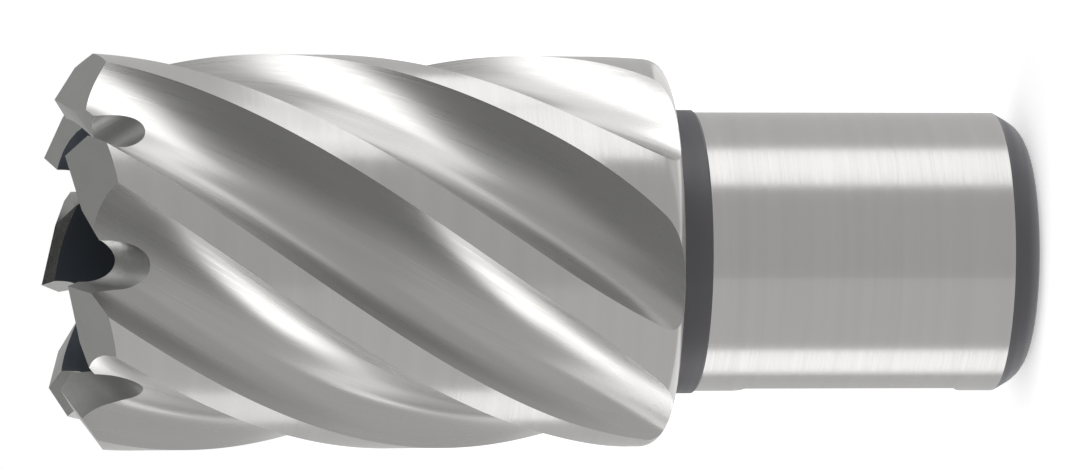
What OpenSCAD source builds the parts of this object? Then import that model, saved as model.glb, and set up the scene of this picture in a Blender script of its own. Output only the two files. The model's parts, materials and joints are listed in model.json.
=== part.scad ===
// Annular cutter: a hollow fluted cutter on a Weldon shank, ground from one bar of high-speed steel.
// It stands on the end of its shank with the teeth up, and its origin is the middle of that end face.
// Lengths are in millimetres and angles in degrees. The first tooth's cutting edge lies on the +X side.

/* [Body] */
// Cutting diameter, over the lands at the tips
cutter_d = 27; // [25:0.5:36]
// How much less the diameter over the lands is at the shoulder
back_taper = 0.4; // [0.1:0.05:0.6]
// Length of the body, from the shoulder to the tooth tips
body_len = 41.5; // [34:0.5:60]
// Thickness of the wall round the core, which is the width of the cut
wall = 4.5; // [4:0.1:5.2]
// Rounding of the body's outer corner at the shoulder
shoulder_round = 1.6; // [0.6:0.1:2]
// Height above the shoulder at which the core bore has its full diameter
core_floor = 6.5; // [5:0.5:10]
// Included angle of the drilled cone at the bottom of the core bore
core_point = 118; // [100:1:140]

/* [Flutes] */
// Number of flutes, and of teeth
teeth = 7; // [6:1:8]
// Rise of the right-hand helix in one full turn
flute_lead = 123; // [90:1:200]
// Depth of a flute below the lands
flute_depth = 2.4; // [1.8:0.1:2.6]
// Width of a land round the outside
land_w = 2.5; // [1.8:0.1:3.4]
// Slope of the leading wall, from the flute's floor
lead_wall = 64; // [55:1:75]
// Fillet at the foot of the leading wall
lead_fillet = 1; // [0.6:0.1:1.4]
// Radius of the hollow wall under the heel
heel_radius = 6.2; // [5:0.1:7]
// Height above the shoulder at which the grinding wheel starts to lift out
runout_len = 9; // [4:0.5:14]
// Radius of the grinding wheel, which shapes the run-out
wheel_radius = 45; // [35:1:70]

/* [Teeth] */
// Distance of the tooth tips in from the outside of the body
tip_inset = 3.2; // [2.6:0.1:3.4]
// Fall of the cutting edge from the tip to the outside
outer_fall = 34; // [20:1:40]
// Fall of the cutting edge from the tip to the core
inner_fall = 30; // [15:1:40]
// Relief of the tooth behind its cutting edge
relief = 13; // [6:1:15]
// Length of the relieved crest behind a tip
crest_len = 4; // [3:0.1:5]
// Fall of the surface from the end of the crest into the next gullet
back_fall = 32; // [20:1:45]
// Depth of a gullet below the tips, where it opens into the core
gullet_depth = 3.4; // [2.6:0.1:4]
// Fall of a gullet's floor from the core outwards
gullet_fall = 45; // [30:1:50]
// Width of a gullet, which has a round bottom
gullet_w = 3.2; // [2.4:0.1:3.6]
// How far a tooth's face is ground back from the flute's leading edge, at the tips
face_cut = 0.3; // [0.2:0.05:0.6]

/* [Shank] */
// Ground diameter of the shank
shank_d = 19.05; // [18:0.05:20]
// Length of the shank, from its end to the shoulder
shank_len = 25; // [24:0.5:40]
// Length of the unground band at the shoulder
root_len = 2.2; // [1:0.1:3]
// Stock left on the radius of the unground band
root_stock = 0.16; // [0.16:0.02:0.3]
// Length of the lead-in at the end of the shank
lead_in_len = 2.1; // [1.6:0.1:2.8]
// Slope of the lead-in from the axis
lead_in_slope = 30; // [20:1:40]
// Rounding between the lead-in and the end face
lead_in_round = 2.4; // [1.5:0.1:2.6]
// Diameter of the hole for the pilot pin
pilot_d = 6.4; // [5:0.1:8]
// Countersink of the pilot hole at the end of the shank
pilot_sink = 0.7; // [0.3:0.1:1.2]

/* [Flats] */
// Length of each of the two flats for the arbor's screws
flat_len = 14.4; // [10:0.1:15]
// Distance from the end of the shank to a flat
flat_start = 5; // [4:0.1:6]
// Depth of a flat below the shank
flat_depth = 1.4; // [1:0.1:2]
// Length of the sloping end of a flat
flat_ramp = 1.2; // [0.5:0.1:1.8]
// Turn of the first flat from the first tooth
flat_turn = 69; // [0:1:359]

/* [Hidden] */
$fn = 96;

cutter_r = cutter_d / 2;
shoulder_r = cutter_r - back_taper / 2;
core_r = cutter_r - wall;
shank_r = shank_d / 2;
root_r = shank_r + root_stock;
pilot_r = pilot_d / 2;
shoulder_z = shank_len;
tip_z = shank_len + body_len;
core_z = shoulder_z + core_floor;
tip_r = cutter_r - tip_inset;
pitch = 360 / teeth;

// How far a cutting tool runs past the surface that it leaves by
past = 1;
// Angle from the seam of the turned surfaces to the first flat
seam_lead = 60;
// Straight pieces that make up a rounded corner
arc_steps = 8;
// Height of one step of a flute's sweep
sweep_step = 2;

function arc(centre, radius, from, to, steps = arc_steps) =
    [for (i = [0 : steps])
        let (a = from + (to - from) * i / steps)
        centre + radius * [cos(a), sin(a)]];

// Half of the turned blank's section, as [radius, height].
lead_in_foot = lead_in_round * (1 - sin(lead_in_slope));
end_face_r = shank_r - lead_in_round * cos(lead_in_slope)
    - (lead_in_len - lead_in_foot) * tan(lead_in_slope);
blank_section = concat(
    [[0, 0]],
    arc([end_face_r, lead_in_round], lead_in_round, -90, -lead_in_slope),
    [[shank_r, lead_in_len],
     [shank_r, shoulder_z - root_len],
     [root_r, shoulder_z - root_len + root_stock],
     [root_r, shoulder_z]],
    arc([shoulder_r - shoulder_round, shoulder_z + shoulder_round], shoulder_round, -90, 0),
    [[cutter_r, tip_z], [0, tip_z]]);

// The seam of the turned surfaces is kept clear of both flats.
module blank() {
    rotate(flat_turn - seam_lead) rotate_extrude() polygon(blank_section);
}

// The core bore with its drilled cone, then the pilot hole on down through the shank.
module bores() {
    cone_h = (core_r - pilot_r) / tan(core_point / 2);
    translate([0, 0, core_z]) cylinder(r = core_r, h = body_len);
    translate([0, 0, core_z - cone_h]) cylinder(r1 = pilot_r, r2 = core_r, h = cone_h);
    translate([0, 0, -past]) cylinder(r = pilot_r, h = core_z);
    translate([0, 0, -past])
        cylinder(r1 = pilot_r + pilot_sink + past, r2 = pilot_r, h = pilot_sink + past);
}

// One flute's section: distance round the outside from the leading edge, and height above the floor.
flute_w = cutter_r * PI / 180 * pitch - land_w;
wall_run = flute_depth / tan(lead_wall);
fillet_x = wall_run + lead_fillet * tan(lead_wall / 2);
heel_turn = acos(1 - flute_depth / heel_radius);
heel_end = acos(1 - (flute_depth + past / 2) / heel_radius);
heel_x = flute_w - heel_radius * sin(heel_turn);
flute_top = flute_depth + 2 * past;
floor_steps = 3;
flute_section = concat(
    [[-past / tan(lead_wall), flute_depth + past]],
    arc([fillet_x, lead_fillet], lead_fillet, 270 - lead_wall, 270, 4),
    [for (i = [1 : floor_steps - 1]) [fillet_x + (heel_x - fillet_x) * i / floor_steps, 0]],
    arc([heel_x, heel_radius], heel_radius, 270, 270 + heel_end, 7),
    [[flute_w, flute_top],
     [flute_w / 2, flute_top],
     [0, flute_top]]);

// The wheel lifts along its own radius as it nears the shoulder, so the floor rises there.
helix_angle = atan(PI * cutter_d / flute_lead);
function wheel_lift(z) =
    let (along = max(0, shoulder_z + runout_len - z) / cos(helix_angle))
    wheel_radius - sqrt(pow(wheel_radius, 2) - pow(along, 2));

function flute_ring(z) =
    [for (p = flute_section)
        let (r = cutter_r - flute_depth + p[1] + wheel_lift(z),
             a = (p[0] + face_cut) / cutter_r * 180 / PI + 360 * (z - tip_z) / flute_lead)
        [r * cos(a), r * sin(a), z]];

// The space that the wheel clears for one flute, swept up the helix from the shoulder to the tips.
module flute() {
    n = len(flute_section);
    foot = shoulder_z - past;
    rings = ceil((tip_z + past - foot) / sweep_step);
    step = (tip_z + past - foot) / rings;
    points = [for (i = [0 : rings]) each flute_ring(foot + i * step)];
    sides = [for (i = [0 : rings - 1], j = [0 : n - 1])
        let (a = i * n + j, b = i * n + (j + 1) % n)
        each [[a, b, a + n], [b, b + n, a + n]]];
    caps = [[for (j = [n - 1 : -1 : 0]) j], [for (j = [0 : n - 1]) rings * n + j]];
    polyhedron(points, concat(sides, caps));
}

// The crest of a tooth follows a chord of the tip circle, so it turns inwards by half its arc.
crest_arc = 2 * asin(crest_len / 2 / tip_r);

// The gullet in front of the first tooth: a round-bottomed slot whose floor falls outwards from the core, and a
// wedge that falls into the slot from the end of the next crest.
module gullet() {
    floor_r = gullet_w / 2;
    crest_end = [tip_r * sin(pitch - crest_arc), -crest_len * sin(relief)];
    wedge_z = crest_end[1] - (crest_end[0] - floor_r) * tan(back_fall);
    wedge_x = crest_end[0] + (past - crest_end[1]) / tan(back_fall);
    inside = core_r * cos(pitch);
    translate([inside, 0, tip_z])
        rotate([90, 0, 90])
        linear_extrude(cutter_r - inside + past)
        polygon([[floor_r, past], [floor_r, wedge_z], [wedge_x, past]]);

    back = gullet_depth * sin(gullet_fall) + past;
    front = wall / cos(gullet_fall) + past;
    tall = gullet_depth * cos(gullet_fall) + wall * sin(gullet_fall) + past;
    slot = concat(arc([floor_r, floor_r], floor_r, 180, 360, 12), [[gullet_w, tall], [0, tall]]);
    translate([core_r, 0, tip_z - gullet_depth])
        rotate([0, gullet_fall, 0])
        rotate([90, 0, 90])
        translate([0, 0, -back])
        linear_extrude(back + front) polygon(slot);
}

// What is ground off above the first tooth: a roof that falls to both sides and back from the tip.
module tooth_relief() {
    inner = wall - tip_inset + past;
    outer = tip_inset + past;
    back = crest_len + 2 * past;
    above = back * tan(relief) + past;
    roof = [[-inner, -inner * tan(inner_fall)],
            [0, 0],
            [outer, -outer * tan(outer_fall)],
            [outer, above],
            [-inner, above]];
    translate([tip_r, 0, tip_z])
        rotate([relief, 0, -crest_arc / 2])
        translate([0, past, 0])
        rotate([90, 0, 0])
        linear_extrude(back + past) polygon(roof);
}

// One flat on the +X side of the shank, with ends that slope out to the surface.
module flat() {
    floor_r = shank_r - flat_depth;
    out = flat_depth + past;
    run = flat_ramp * out / flat_depth;
    outline = [[floor_r, flat_start],
               [floor_r, flat_start + flat_len],
               [floor_r + out, flat_start + flat_len + run],
               [floor_r + out, flat_start - run]];
    rotate([90, 0, 0]) linear_extrude(shank_d, center = true) polygon(outline);
}

// Repeats its children, which belong to the first tooth, at every tooth.
module at_each_tooth() {
    for (i = [0 : teeth - 1]) rotate(i * pitch) children();
}

// The blank as it is before the flutes are ground: bored, with its flats milled and its teeth formed.
module toothed_blank() {
    difference() {
        blank();
        bores();
        for (turn = [flat_turn, flat_turn + 90]) rotate(turn) flat();
        at_each_tooth() gullet();
        at_each_tooth() tooth_relief();
    }
}

module cutter() {
    color([0.66, 0.65, 0.63])
    difference() {
        toothed_blank();
        at_each_tooth() flute();
    }
}

cutter();
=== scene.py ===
# An annular cutter, standing on the end of its shank with the teeth up, seen from its side.
import json
import math

import bmesh
import bpy
from mathutils import Matrix, Vector

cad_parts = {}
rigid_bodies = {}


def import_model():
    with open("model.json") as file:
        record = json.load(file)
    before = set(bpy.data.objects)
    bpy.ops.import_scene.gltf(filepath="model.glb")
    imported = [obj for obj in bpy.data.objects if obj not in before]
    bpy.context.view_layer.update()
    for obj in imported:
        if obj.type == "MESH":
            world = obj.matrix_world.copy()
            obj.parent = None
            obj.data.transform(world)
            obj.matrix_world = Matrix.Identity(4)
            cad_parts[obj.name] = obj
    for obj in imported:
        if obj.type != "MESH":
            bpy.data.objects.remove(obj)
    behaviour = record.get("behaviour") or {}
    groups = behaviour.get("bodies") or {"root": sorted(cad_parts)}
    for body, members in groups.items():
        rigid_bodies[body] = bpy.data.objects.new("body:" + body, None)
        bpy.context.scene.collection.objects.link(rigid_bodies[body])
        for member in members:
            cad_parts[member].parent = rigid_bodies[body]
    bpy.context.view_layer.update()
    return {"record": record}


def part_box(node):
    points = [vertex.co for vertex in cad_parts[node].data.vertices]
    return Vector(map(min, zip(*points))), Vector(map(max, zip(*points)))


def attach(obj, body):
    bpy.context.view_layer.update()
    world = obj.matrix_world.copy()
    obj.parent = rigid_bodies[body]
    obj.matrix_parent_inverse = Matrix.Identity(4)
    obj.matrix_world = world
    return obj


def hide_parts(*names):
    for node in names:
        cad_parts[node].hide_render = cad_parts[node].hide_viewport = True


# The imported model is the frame. It gives the cutter's length, and its record gives the shank and the pilot
# hole, so the piece below is drawn in the same place and at the same size.
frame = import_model()
mm = 0.001
tip_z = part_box("cutter")[1].z
mount_r = {m["name"]: m["dims"]["r_mm"] * mm for m in frame["record"]["mounts"] if "r_mm" in m["dims"]}


# The fluted body. The cutter starts as a bar of high-speed steel, turned with a slight back taper. A
# profiled wheel grinds seven right-hand flutes up its side and lifts out as it nears the shoulder. The lands
# stay as turned. Grinding leaves fine lines along a flute, and turning leaves them round the lands.
teeth = 7
pitch = 2 * math.pi / teeth
cutter_r = 13.5 * mm
back_taper = 0.4 * mm
shoulder_z = 25 * mm
shoulder_round = 1.6 * mm
flute_lead = 123 * mm
flute_depth = 2.4 * mm
land_w = 2.5 * mm
lead_wall = 58
lead_fillet = 2.8 * mm
heel_radius = 6.2 * mm
runout_len = 9 * mm
wheel_radius = 45 * mm
face_cut = 0.3 * mm
merge_gap = 0.001 * mm
wall_steps = 4
foot_steps = 6
floor_steps = 5
heel_steps = 14
land_steps = 6
shoulder_steps = 20
side_steps = 120


def add_node(tree, kind, inputs=None, **settings):
    node = tree.nodes.new(kind)
    for name, value in settings.items():
        setattr(node, name, value)
    for socket, source in (inputs or {}).items():
        if isinstance(source, bpy.types.NodeSocket):
            tree.links.new(source, node.inputs[socket])
        else:
            node.inputs[socket].default_value = source
    return node


def tool_marks_group():
    """Fine lines that a tool leaves in steel, and the broader streaks among them."""
    streak_scale = 0.14
    group = bpy.data.node_groups.new("tool_marks", "ShaderNodeTree")
    group.interface.new_socket("Vector", in_out="INPUT", socket_type="NodeSocketVector")
    group.interface.new_socket("Lines per metre", in_out="INPUT", socket_type="NodeSocketFloat")
    group.interface.new_socket("Lines", in_out="OUTPUT", socket_type="NodeSocketFloat")
    group.interface.new_socket("Streaks", in_out="OUTPUT", socket_type="NodeSocketFloat")
    inside = add_node(group, "NodeGroupInput")
    lines = add_node(group, "ShaderNodeTexNoise", {
        "Vector": inside.outputs["Vector"],
        "Scale": inside.outputs["Lines per metre"],
        "Detail": 3.0,
        "Roughness": 0.65,
    })
    coarser = add_node(group, "ShaderNodeMath", {
        0: inside.outputs["Lines per metre"],
        1: streak_scale,
    }, operation="MULTIPLY")
    streaks = add_node(group, "ShaderNodeTexNoise", {
        "Vector": inside.outputs["Vector"],
        "Scale": coarser.outputs["Value"],
        "Detail": 2.0,
    })
    add_node(group, "NodeGroupOutput", {
        "Lines": lines.outputs["Fac"],
        "Streaks": streaks.outputs["Fac"],
    })
    return group


tool_marks = tool_marks_group()
line_stretch = 0.02
noise_low = 0.3
noise_high = 0.7
darkest_streak = 0.97
palest_streak = 1.02
smoothest_line = 0.85
roughest_line = 1.2
finishes_and_shades = {}


def object_place(tree):
    return add_node(tree, "ShaderNodeTexCoord").outputs["Object"]


def along_the_helix(tree):
    """Coordinates that change across a flute, and hardly along it: the twist is taken out."""
    place = object_place(tree)
    parts = add_node(tree, "ShaderNodeSeparateXYZ", {"Vector": place})
    turn = add_node(tree, "ShaderNodeMath", {
        0: parts.outputs["Z"],
        1: -2 * math.pi / flute_lead,
    }, operation="MULTIPLY")
    straight = add_node(tree, "ShaderNodeVectorRotate", {
        "Vector": place,
        "Angle": turn.outputs["Value"],
    }, rotation_type="Z_AXIS")
    return add_node(tree, "ShaderNodeMapping", {
        "Vector": straight.outputs["Vector"],
        "Scale": (1, 1, line_stretch),
    }).outputs["Vector"]


def round_the_axis(tree):
    """Coordinates that change along a turned surface's outline, and hardly round it."""
    parts = add_node(tree, "ShaderNodeSeparateXYZ", {"Vector": object_place(tree)})
    flat = add_node(tree, "ShaderNodeCombineXYZ", {"X": parts.outputs["X"], "Y": parts.outputs["Y"]})
    radius = add_node(tree, "ShaderNodeVectorMath", {0: flat.outputs["Vector"]}, operation="LENGTH")
    outline = add_node(tree, "ShaderNodeCombineXYZ", {
        "X": radius.outputs["Value"],
        "Z": parts.outputs["Z"],
    })
    drift = add_node(tree, "ShaderNodeVectorMath", {
        0: flat.outputs["Vector"],
        "Scale": line_stretch,
    }, operation="SCALE")
    return add_node(tree, "ShaderNodeVectorMath", {
        0: outline.outputs["Vector"],
        1: drift.outputs["Vector"],
    }, operation="ADD").outputs["Vector"]


def steel(finish_or_shade, colour, roughness, metallic, lines_per_metre, line_depth, coordinates):
    """A finish of the steel, or steel painted darker as painted shade, kept under its name for the faces
    that have it.
    """
    material = bpy.data.materials.new(finish_or_shade)
    material.use_nodes = True
    tree = material.node_tree
    shader = tree.nodes["Principled BSDF"]
    marks = add_node(tree, "ShaderNodeGroup", node_tree=tool_marks)
    tree.links.new(coordinates(tree), marks.inputs["Vector"])
    marks.inputs["Lines per metre"].default_value = lines_per_metre
    shade = add_node(tree, "ShaderNodeMapRange", {
        "Value": marks.outputs["Streaks"],
        "From Min": noise_low,
        "From Max": noise_high,
        "To Min": darkest_streak,
        "To Max": palest_streak,
    })
    tint = add_node(tree, "ShaderNodeHueSaturation", {
        "Color": (*colour, 1),
        "Value": shade.outputs["Result"],
    })
    worn = add_node(tree, "ShaderNodeMapRange", {
        "Value": marks.outputs["Lines"],
        "From Min": noise_low,
        "From Max": noise_high,
        "To Min": roughness * smoothest_line,
        "To Max": roughness * roughest_line,
    })
    bump = add_node(tree, "ShaderNodeBump", {
        "Strength": 1.0,
        "Distance": line_depth,
        "Height": marks.outputs["Lines"],
    })
    tree.links.new(tint.outputs["Color"], shader.inputs["Base Color"])
    tree.links.new(worn.outputs["Result"], shader.inputs["Roughness"])
    tree.links.new(bump.outputs["Normal"], shader.inputs["Normal"])
    shader.inputs["Metallic"].default_value = metallic
    finishes_and_shades[finish_or_shade] = material


bright = (0.63, 0.622, 0.61)
flute_grey = (0.55, 0.545, 0.535)
steel(
    "ground_flute", flute_grey, roughness=0.3, metallic=1,
    lines_per_metre=5000, line_depth=0.002 * mm, coordinates=along_the_helix)
steel(
    "turned_steel", bright, roughness=0.2, metallic=1,
    lines_per_metre=6000, line_depth=0.003 * mm, coordinates=round_the_axis)

shoulder_r = cutter_r - back_taper / 2
lead_slope = math.tan(math.radians(lead_wall))
flute_w = cutter_r * pitch - land_w
fillet_x = flute_depth / lead_slope + lead_fillet * math.tan(math.radians(lead_wall) / 2)
heel_x = flute_w - math.sqrt(heel_radius ** 2 - (heel_radius - flute_depth) ** 2)
helix_angle = math.atan(2 * math.pi * cutter_r / flute_lead)


def between(first, last, steps):
    """Points that divide a line, without its two ends."""
    return [tuple(a + (b - a) * i / steps for a, b in zip(first, last)) for i in range(1, steps)]


def arc(centre, radius, first, last, steps):
    turns = [math.radians(first + (last - first) * i / steps) for i in range(steps + 1)]
    return [(centre[0] + radius * math.cos(a), centre[1] + radius * math.sin(a)) for a in turns]


def arc_rise(radius, height):
    """Degrees that an arc turns from its lowest point up to a height."""
    return math.degrees(math.acos(max(-1, 1 - height / radius)))


def flute_outline(depth):
    """Across and height of the points over one flute of that depth, then those over the land behind it."""
    foot_turn = min(lead_wall, arc_rise(lead_fillet, depth))
    foot = arc((fillet_x, lead_fillet), lead_fillet, 270 - foot_turn, 270, foot_steps)
    edge = (foot[0][0] - (depth - foot[0][1]) / lead_slope, depth)
    heel_turn = arc_rise(heel_radius, depth)
    heel = arc((heel_x, heel_radius), heel_radius, 270, 270 + heel_turn, heel_steps)
    next_edge = (edge[0] + cutter_r * pitch, depth)
    flute = [edge] + between(edge, foot[0], wall_steps) + foot
    flute += between(foot[-1], heel[0], floor_steps) + heel
    return flute, between(heel[-1], next_edge, land_steps) + [next_edge]


def wheel_lift(z):
    along = max(0, shoulder_z + runout_len - z) / math.cos(helix_angle)
    return wheel_radius - math.sqrt(wheel_radius ** 2 - along ** 2)


def turned_r(z):
    """Radius of the turned bar, which tapers down to the shoulder's rounded corner."""
    below = shoulder_z + shoulder_round - z
    if below > 0:
        return shoulder_r - shoulder_round + math.sqrt(max(0, shoulder_round ** 2 - below ** 2))
    return cutter_r - (cutter_r - shoulder_r) * (tip_z - z) / (tip_z - shoulder_z - shoulder_round)


def place_on_helix(vert, number):
    """Puts a vertex of the spun strip on the flute or the land, by its number across them."""
    above = vert.co.z - shoulder_z
    if above < shoulder_round:
        vert.co.z = shoulder_z + shoulder_round * (1 - math.cos(math.pi / 2 * above / shoulder_round))
    z = vert.co.z
    bottom_r = cutter_r - flute_depth + wheel_lift(z)
    flute, land = flute_outline(max(0, turned_r(z) - bottom_r))
    across, height = (flute + land)[number]
    radius = min(bottom_r + height, turned_r(z))
    turn = (across + face_cut) / cutter_r + 2 * math.pi * (z - tip_z) / flute_lead
    vert.co.xy = radius * math.cos(turn), radius * math.sin(turn)


def finish_or_shade_number(finish_or_shade):
    return list(finishes_and_shades).index(finish_or_shade)


body = bmesh.new()
station = body.verts.layers.int.new("station")
flute, land = flute_outline(flute_depth)
row = [body.verts.new((cutter_r, 0, shoulder_z)) for point in flute + land]
for number, vert in enumerate(row):
    vert[station] = number
row += [body.edges.new(pair) for pair in zip(row, row[1:])]
foot_z = shoulder_z
for top_z, steps in ((shoulder_z + shoulder_round, shoulder_steps), (tip_z, side_steps)):
    rise = top_z - foot_z
    row = bmesh.ops.spin(
        body, geom=row, cent=(0, 0, 0), axis=(0, 0, 1), dvec=(0, 0, rise / steps),
        angle=2 * math.pi * rise / flute_lead, steps=steps)["geom_last"]
    foot_z = top_z
for vert in body.verts:
    place_on_helix(vert, vert[station])
for face in body.faces:
    on_land = min(vert[station] for vert in face.verts) >= len(flute) - 1
    face.material_index = finish_or_shade_number("turned_steel" if on_land else "ground_flute")
bmesh.ops.spin(
    body, geom=body.verts[:] + body.edges[:] + body.faces[:], cent=(0, 0, 0), axis=(0, 0, 1),
    angle=2 * math.pi - pitch, steps=teeth - 1, use_duplicate=True)
bmesh.ops.remove_doubles(body, verts=body.verts[:], dist=merge_gap)


# The shank and the bores. The same bar is turned down to the shank, whose ends keep a dark unground skin: a
# band at the shoulder and a rounded lead-in. A hole for the pilot pin runs up through it into the wide core.
# The bores' steel is painted near-black navy, which is painted shade for the dark inside the core.
shank_r = mount_r["shank"]
pilot_r = mount_r["pilot_hole"]
root_len = 2.2 * mm
root_stock = 0.16 * mm
lead_in_len = 2.1 * mm
lead_in_slope = 30
lead_in_round = 2.4 * mm
pilot_sink = 0.7 * mm
wall = 4.5 * mm
core_floor = 6.5 * mm
core_point = 118
lead_in_steps = 8
skin_black = (0.13, 0.13, 0.14)
# Painted shade: the bores' near-black navy stands for the shade inside the core and the pilot hole.
bore_painted_shade_colour = (0.06, 0.07, 0.085)
steel(
    "unground_skin", skin_black, roughness=0.42, metallic=0.6,
    lines_per_metre=1500, line_depth=0.004 * mm, coordinates=round_the_axis)
steel(
    "bore_painted_shade", bore_painted_shade_colour, roughness=0.4, metallic=0.6,
    lines_per_metre=2500, line_depth=0.006 * mm, coordinates=round_the_axis)

root_r = shank_r + root_stock
core_r = cutter_r - wall
core_z = shoulder_z + core_floor
cone_z = core_z - (core_r - pilot_r) / math.tan(math.radians(core_point) / 2)
lead_in_foot = lead_in_round * (1 - math.sin(math.radians(lead_in_slope)))
end_face_r = (shank_r - lead_in_round * math.cos(math.radians(lead_in_slope))
              - (lead_in_len - lead_in_foot) * math.tan(math.radians(lead_in_slope)))
lead_in = arc((end_face_r, lead_in_round), lead_in_round, -lead_in_slope, -90, lead_in_steps)


def draw_ring(rim, radius, z, finish_or_shade):
    """Draws the open rim on to a circle and returns the new rim."""
    made = bmesh.ops.extrude_edge_only(body, edges=rim)["geom"]
    for part in made:
        if isinstance(part, bmesh.types.BMVert):
            part.co = (*(part.co.xy.normalized() * radius), z)
        if isinstance(part, bmesh.types.BMFace):
            part.material_index = finish_or_shade_number(finish_or_shade)
    return [part for part in made if isinstance(part, bmesh.types.BMEdge) and part.is_boundary]


open_edges = [edge for edge in body.edges if edge.is_boundary]
top_rim = [edge for edge in open_edges if edge.verts[0].co.z > core_z]
rim = [edge for edge in open_edges if edge.verts[0].co.z < core_z]
for radius, z, finish_or_shade in [
    (root_r, shoulder_z, "turned_steel"),
    (root_r, shoulder_z - root_len + root_stock, "unground_skin"),
    (shank_r, shoulder_z - root_len, "unground_skin"),
    (shank_r, lead_in_len, "turned_steel"),
    *[(radius, z, "unground_skin") for radius, z in lead_in],
    (pilot_r + pilot_sink, 0, "unground_skin"),
    (pilot_r, pilot_sink, "bore_painted_shade"),
    (pilot_r, cone_z, "bore_painted_shade"),
    (core_r, core_z, "bore_painted_shade"),
    (core_r, tip_z, "bore_painted_shade"),
]:
    rim = draw_ring(rim, radius, z, finish_or_shade)
bmesh.ops.bridge_loops(body, edges=rim + top_rim)
bmesh.ops.recalc_face_normals(body, faces=body.faces[:])


# The teeth. A round-bottomed gullet that falls outwards is ground in front of each tooth for the chips, and
# the back of the next tooth slopes into it. Each crest is ground to a roof that falls outwards, inwards and
# back, so that the cutting edge stands highest. The gullets, crests and back slopes are painted a darker
# grey than the bright steel. This is painted shade in the recessed gullets and on the crests and back
# slopes.
tip_inset = 3.2 * mm
outer_fall = 34
inner_fall = 30
relief = 13
crest_len = 4 * mm
back_fall = 32
gullet_depth = 3.4 * mm
gullet_fall = math.radians(45)
gullet_w = 3.2 * mm
gullet_steps = 24
past = 1 * mm
# Painted shade: the gullets' and crests' greys are darker than the bright steel for the shade on them.
gullet_painted_shade_grey = (0.38, 0.38, 0.37)
crest_painted_shade_grey = (0.42, 0.42, 0.41)
steel(
    "gullet_painted_shade", gullet_painted_shade_grey, roughness=0.48, metallic=1,
    lines_per_metre=3000, line_depth=0.004 * mm, coordinates=object_place)
steel(
    "tooth_top_painted_shade", crest_painted_shade_grey, roughness=0.22, metallic=1,
    lines_per_metre=3500, line_depth=0.004 * mm, coordinates=object_place)

tip_r = cutter_r - tip_inset
crest_arc = 2 * math.asin(crest_len / 2 / tip_r)
milling = bpy.data.collections.new("milling")


def fall(run, degrees):
    return run * math.tan(math.radians(degrees))


def mill(name, outline, length, turn, finish_or_shade):
    """A block that is cut away: an outline in Y and Z, drawn out along X, then put in its place."""
    block = bmesh.new()
    face = block.faces.new([block.verts.new((0, y, z)) for y, z in outline])
    made = bmesh.ops.extrude_face_region(block, geom=[face], use_keep_orig=True)["geom"]
    far = [part for part in made if isinstance(part, bmesh.types.BMVert)]
    bmesh.ops.translate(block, verts=far, vec=(length, 0, 0))
    bmesh.ops.recalc_face_normals(block, faces=block.faces[:])
    bmesh.ops.transform(block, matrix=turn, verts=block.verts[:])
    for face in block.faces:
        face.material_index = finish_or_shade_number(finish_or_shade)
    mesh = bpy.data.meshes.new(name)
    block.to_mesh(mesh)
    block.free()
    milling.objects.link(bpy.data.objects.new(name, mesh))


gullet_r = gullet_w / 2
gullet_back = gullet_depth * math.sin(gullet_fall) + past
gullet_front = wall / math.cos(gullet_fall) + past
gullet_top = gullet_depth * math.cos(gullet_fall) + wall * math.sin(gullet_fall) + past
gullet = arc((gullet_r, gullet_r), gullet_r, 180, 360, gullet_steps)
gullet += [(gullet_w, gullet_top), (0, gullet_top)]

crest_end = (tip_r * math.sin(pitch - crest_arc), -crest_len * math.sin(math.radians(relief)))
slope_z = crest_end[1] - fall(crest_end[0] - gullet_r, back_fall)
slope_y = crest_end[0] + (past - crest_end[1]) / math.tan(math.radians(back_fall))
slope = [(gullet_r, past), (gullet_r, slope_z), (slope_y, past)]
slope_in = core_r * math.cos(pitch)

roof_in = wall - tip_inset + past
roof_out = tip_inset + past
roof_back = crest_len + 2 * past
roof_top = fall(roof_back, relief) + past
roof = [(-roof_in, -fall(roof_in, inner_fall)), (0, 0), (roof_out, -fall(roof_out, outer_fall))]
roof += [(roof_out, roof_top), (-roof_in, roof_top)]

across = Matrix.Rotation(math.radians(-90), 4, "Z")
for tooth in range(teeth):
    turn = Matrix.Rotation(tooth * pitch, 4, "Z")
    place = turn @ Matrix.Translation((core_r, 0, tip_z - gullet_depth))
    place = place @ Matrix.Rotation(gullet_fall, 4, "Y") @ Matrix.Translation((-gullet_back, 0, 0))
    mill(f"gullet_{tooth}", gullet, gullet_back + gullet_front, place, "gullet_painted_shade")
    place = turn @ Matrix.Translation((slope_in, 0, tip_z))
    mill(f"back_slope_{tooth}", slope, cutter_r + past - slope_in, place, "tooth_top_painted_shade")
    place = turn @ Matrix.Translation((tip_r, 0, tip_z)) @ Matrix.Rotation(-crest_arc / 2, 4, "Z")
    place = place @ Matrix.Rotation(math.radians(relief), 4, "X")
    place = place @ Matrix.Translation((0, past, 0)) @ across
    mill(f"crest_{tooth}", roof, roof_back + past, place, "tooth_top_painted_shade")


# The two flats. They are milled a quarter turn apart into the side of the shank, with sloping ends, and the
# screws of the drill's arbor press on them.
flat_len = 14.4 * mm
flat_start = 5 * mm
flat_depth = 1.4 * mm
flat_ramp = 1.2 * mm
flat_turn = 69


def along_the_axis(tree):
    """Coordinates that change round the shank, and hardly along it."""
    return add_node(tree, "ShaderNodeMapping", {
        "Vector": object_place(tree),
        "Scale": (1, 1, line_stretch),
    }).outputs["Vector"]


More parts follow.
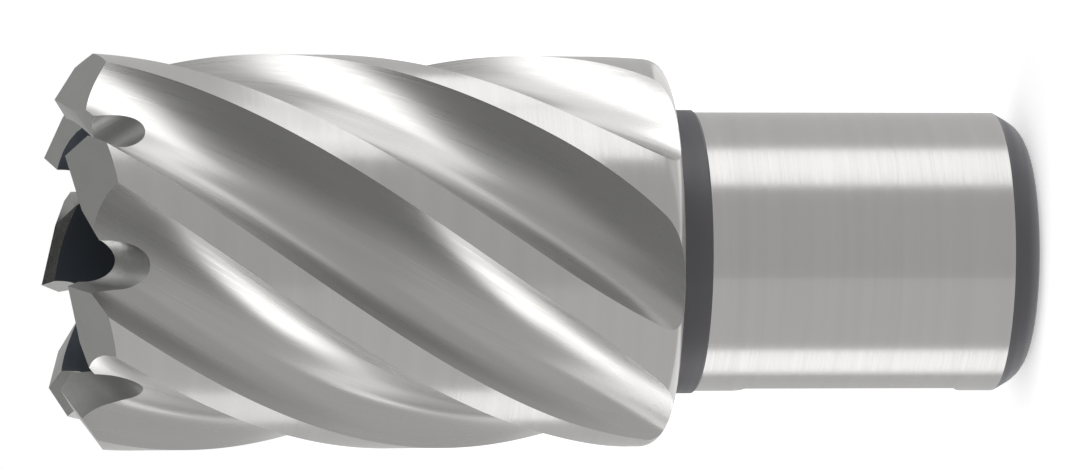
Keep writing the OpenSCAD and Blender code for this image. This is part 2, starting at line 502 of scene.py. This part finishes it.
steel(
    "milled_flat", bright, roughness=0.26, metallic=1,
    lines_per_metre=4000, line_depth=0.004 * mm, coordinates=along_the_axis)
flat_r = shank_r - flat_depth
flat_out = flat_depth + past
flat_run = flat_ramp * flat_out / flat_depth
flat = [(flat_r, flat_start), (flat_r, flat_start + flat_len)]
flat += [(flat_r + flat_out, flat_start + flat_len + flat_run), (flat_r + flat_out, flat_start - flat_run)]
for degrees in (flat_turn, flat_turn + 90):
    place = Matrix.Rotation(math.radians(degrees), 4, "Z") @ Matrix.Translation((0, shank_r, 0)) @ across
    mill(f"flat_{degrees}", flat, 2 * shank_r, place, "milled_flat")


# The finished tool. Gullets, crests and flats are cut from the one piece of steel, and each cut face keeps
# the material of its cutter: the flats their milled finish, and the gullets and crests their darker painted
# shade. The ground edges stay sharp.
sharp_edge = math.radians(20)
mesh = bpy.data.meshes.new("ground_cutter")
for material in finishes_and_shades.values():
    mesh.materials.append(material)
body.to_mesh(mesh)
body.free()
cutter = bpy.data.objects.new("ground_cutter", mesh)
bpy.context.scene.collection.objects.link(cutter)
cut = cutter.modifiers.new("milling", "BOOLEAN")
cut.operation = "DIFFERENCE"
cut.solver = "EXACT"
cut.material_mode = "INDEX"
cut.operand_type = "COLLECTION"
cut.collection = milling
finished = bpy.data.meshes.new_from_object(cutter.evaluated_get(bpy.context.evaluated_depsgraph_get()))
cutter.modifiers.clear()
cutter.data = finished
for block in milling.objects[:]:
    bpy.data.objects.remove(block)
bpy.data.collections.remove(milling)
finished.shade_smooth()
finished.set_sharp_from_angle(angle=sharp_edge)
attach(cutter, "root")
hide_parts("cutter")


# The camera. It looks at the side of the cutter from a little above the level, on the teeth's side, and is
# rolled so that the cutter lies across the picture with its teeth to the left.
photo_w = 1080
axis_drop = 17.2
middle_z = 33.3 * mm
view_w = 73.65 * mm
view_turn = math.radians(-90.1)
view_rise = math.radians(7.9)
camera_distance = 670 * mm

outwards = Vector((math.cos(view_turn), math.sin(view_turn), 0))
back = outwards * math.cos(view_rise) + Vector((0, 0, math.sin(view_rise)))
up = Vector((0, 0, 1)).cross(outwards)
right = up.cross(back)
lens = bpy.data.cameras.new("camera")
lens.lens = lens.sensor_width * camera_distance / view_w
lens.clip_start = 10 * mm
camera = bpy.data.objects.new("camera", lens)
bpy.context.scene.collection.objects.link(camera)
bpy.context.scene.camera = camera
target = Vector((0, 0, middle_z)) + up * axis_drop * view_w / photo_w
camera_axes = Matrix((right, up, back)).transposed().to_4x4()
camera.matrix_world = Matrix.Translation(target + back * camera_distance) @ camera_axes


# The studio. The cutter stands on white paper in a white surround, between two soft boxes. Grey and white
# cards stand far out all round it, with one white card close to the body, and only the steel's reflections
# show them.
floor_r = 450 * mm
paper_white = 0.8
paper_glow = 0.5
card_r = 600 * mm
dark_card_r = 560 * mm
near_card_r = 60 * mm
card_z = 35 * mm
dusk_from = 60 * mm
dusk_to = 240 * mm
box_distance = 450 * mm
room_light = 0.6
floor_sides = 64
card_turn_steps = 32
card_rise_steps = 24


def studio_piece(name, shape, material):
    mesh = bpy.data.meshes.new(name)
    shape.to_mesh(mesh)
    shape.free()
    mesh.materials.append(material)
    piece = bpy.data.objects.new(name, mesh)
    bpy.context.scene.collection.objects.link(piece)
    return piece


def bare_tree(owner):
    owner.use_nodes = True
    owner.node_tree.nodes.clear()
    return owner.node_tree


def seen_directly(tree):
    """1 for what the camera sees, also in metal or through glass, and 0 for light that falls on things."""
    rays = add_node(tree, "ShaderNodeLightPath")
    seen = rays.outputs["Is Camera Ray"]
    for kind in ("Is Glossy Ray", "Is Transmission Ray"):
        either = add_node(tree, "ShaderNodeMath", {0: seen, 1: rays.outputs[kind]}, operation="MAXIMUM")
        seen = either.outputs["Value"]
    return seen


paper = bpy.data.materials.new("white_paper")
tree = bare_tree(paper)
glow = add_node(tree, "ShaderNodeMath", {0: seen_directly(tree), 1: paper_glow}, operation="MULTIPLY")
glow = add_node(tree, "ShaderNodeEmission", {"Strength": glow.outputs["Value"]})
matt = add_node(tree, "ShaderNodeBsdfDiffuse", {"Color": (paper_white, paper_white, paper_white, 1)})
both = add_node(tree, "ShaderNodeAddShader", {0: glow.outputs["Emission"], 1: matt.outputs["BSDF"]})
add_node(tree, "ShaderNodeOutputMaterial", {"Surface": both.outputs["Shader"]})
floor = bmesh.new()
bmesh.ops.create_circle(floor, cap_ends=True, radius=floor_r, segments=floor_sides)
studio_piece("floor", floor, paper).visible_glossy = False


def card(name, radius, sides, rises, level, high_level):
    """A card bent round the cutter: its sides are angles from the camera, its rises angles above level."""
    paint = bpy.data.materials.new(name)
    tree = bare_tree(paint)
    place = add_node(tree, "ShaderNodeSeparateXYZ", {"Vector": object_place(tree)})
    brightness = add_node(tree, "ShaderNodeMapRange", {
        "Value": place.outputs["Z"],
        "From Min": dusk_from,
        "From Max": dusk_to,
        "To Min": level,
        "To Max": high_level,
    })
    glow = add_node(tree, "ShaderNodeEmission", {"Strength": brightness.outputs["Result"]})
    add_node(tree, "ShaderNodeOutputMaterial", {"Surface": glow.outputs["Emission"]})
    shape = bmesh.new()
    outline = arc((0, card_z), radius, *rises, card_rise_steps)
    verts = [shape.verts.new(outwards * out + Vector((0, 0, z))) for out, z in outline]
    edges = [shape.edges.new(pair) for pair in zip(verts, verts[1:])]
    first, last = [math.radians(side) for side in sides]
    bmesh.ops.rotate(shape, verts=verts, matrix=Matrix.Rotation(first, 3, "Z"))
    bmesh.ops.spin(
        shape, geom=verts + edges, cent=(0, 0, 0), axis=(0, 0, 1), angle=last - first, steps=card_turn_steps)
    piece = studio_piece(name, shape, paint)
    piece.visible_camera = False
    piece.visible_diffuse = False
    piece.visible_shadow = False
    piece.visible_transmission = False


def soft_box(name, light, angle, lean, width, low_z, high_z):
    """A lamp of even brightness that faces the cutter's axis between two heights, with its top leaning."""
    height = high_z - low_z
    lamp = bpy.data.lights.new(name, "AREA")
    lamp.shape = "RECTANGLE"
    lamp.size = width
    lamp.size_y = height
    lamp.energy = light * math.pi * width * height
    box = bpy.data.objects.new(name, lamp)
    bpy.context.scene.collection.objects.link(box)
    away = Matrix.Rotation(math.radians(angle), 3, "Z") @ outwards
    facing = away.to_track_quat("Z", "Y").to_matrix() @ Matrix.Rotation(math.radians(lean), 3, "Z")
    place = away * box_distance + Vector((0, 0, low_z + height / 2))
    box.matrix_world = Matrix.Translation(place) @ facing.to_4x4()
    box.visible_camera = False


card("front_card", card_r, sides=(-20, 56), rises=(-85, 85), level=0.51, high_level=0.22)
card("front_lower_card", card_r, sides=(-89, -20), rises=(-85, 85), level=0.61, high_level=0.25)
card("lower_low_card", card_r, sides=(-117, -89), rises=(-85, -17), level=0.6, high_level=0.6)
card("lower_white_card", card_r, sides=(-117, -89), rises=(-17, -7), level=1.55, high_level=1.55)
card("upper_low_card", card_r, sides=(56, 112), rises=(-85, -17), level=0.7, high_level=0.7)
card("upper_white_card", card_r, sides=(56, 94), rises=(-17, -7), level=1.55, high_level=1.55)
card("rear_card", card_r, sides=(94, 243), rises=(-17, 85), level=0.6, high_level=0.5)
card("dark_card", dark_card_r, sides=(128, 174), rises=(48, 70), level=0.05, high_level=0.05)
card("near_card", near_card_r, sides=(86, 114), rises=(-11, 12), level=1.4, high_level=1.4)
soft_box("upper_box", light=1.55, angle=73, lean=33, width=350 * mm, low_z=72 * mm, high_z=470 * mm)
soft_box("lower_box", light=2.2, angle=-115, lean=0, width=640 * mm, low_z=98 * mm, high_z=380 * mm)

world = bpy.data.worlds.new("white_surround")
bpy.context.scene.world = world
tree = bare_tree(world)
level = add_node(tree, "ShaderNodeMapRange", {
    "Value": seen_directly(tree),
    "To Min": room_light,
    "To Max": 1.0,
})
surround = add_node(tree, "ShaderNodeBackground", {
    "Color": (1, 1, 1, 1),
    "Strength": level.outputs["Result"],
})
add_node(tree, "ShaderNodeOutputWorld", {"Surface": surround.outputs["Background"]})
bpy.context.scene.view_settings.view_transform = "Standard"
